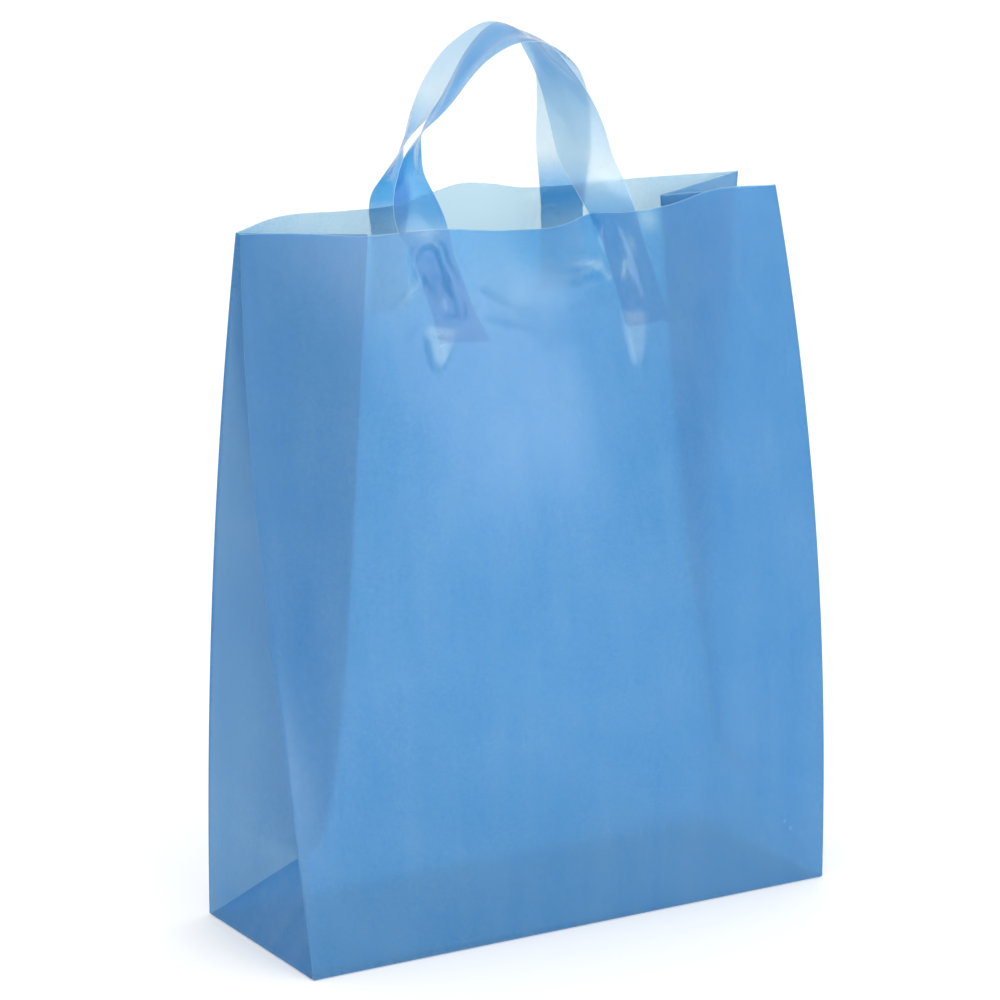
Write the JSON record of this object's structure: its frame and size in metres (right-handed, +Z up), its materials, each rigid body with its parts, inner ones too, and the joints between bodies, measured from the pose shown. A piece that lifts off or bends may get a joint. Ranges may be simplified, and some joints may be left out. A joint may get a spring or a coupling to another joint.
{
  "type": "plastic carrier bag",
  "caption": "Frosted translucent blue film carrier bag with tucked side gussets, a squared base it stands on, an open mouth, and soft flat loop handles welded inside the mouth",
  "frame": {"origin": "the middle of the base, on the surface the bag stands on", "axes": "+X along the width to the right as seen from the front, +Y towards the back panel, +Z up"},
  "size_m": [0.409, 0.1645, 0.6034],
  "materials": {
    "frosted_film": "frosted translucent blue polyethylene film, soft satin sheen, darker where layers overlap",
    "handle_film": "clear pale blue film strip, smoother and more see-through than the bag, with a pressed weld at each end"
  },
  "bodies": {
    "root": {"bag_body": "frosted_film", "front_handle": "handle_film", "back_handle": "handle_film"}
  },
  "joints": []
}
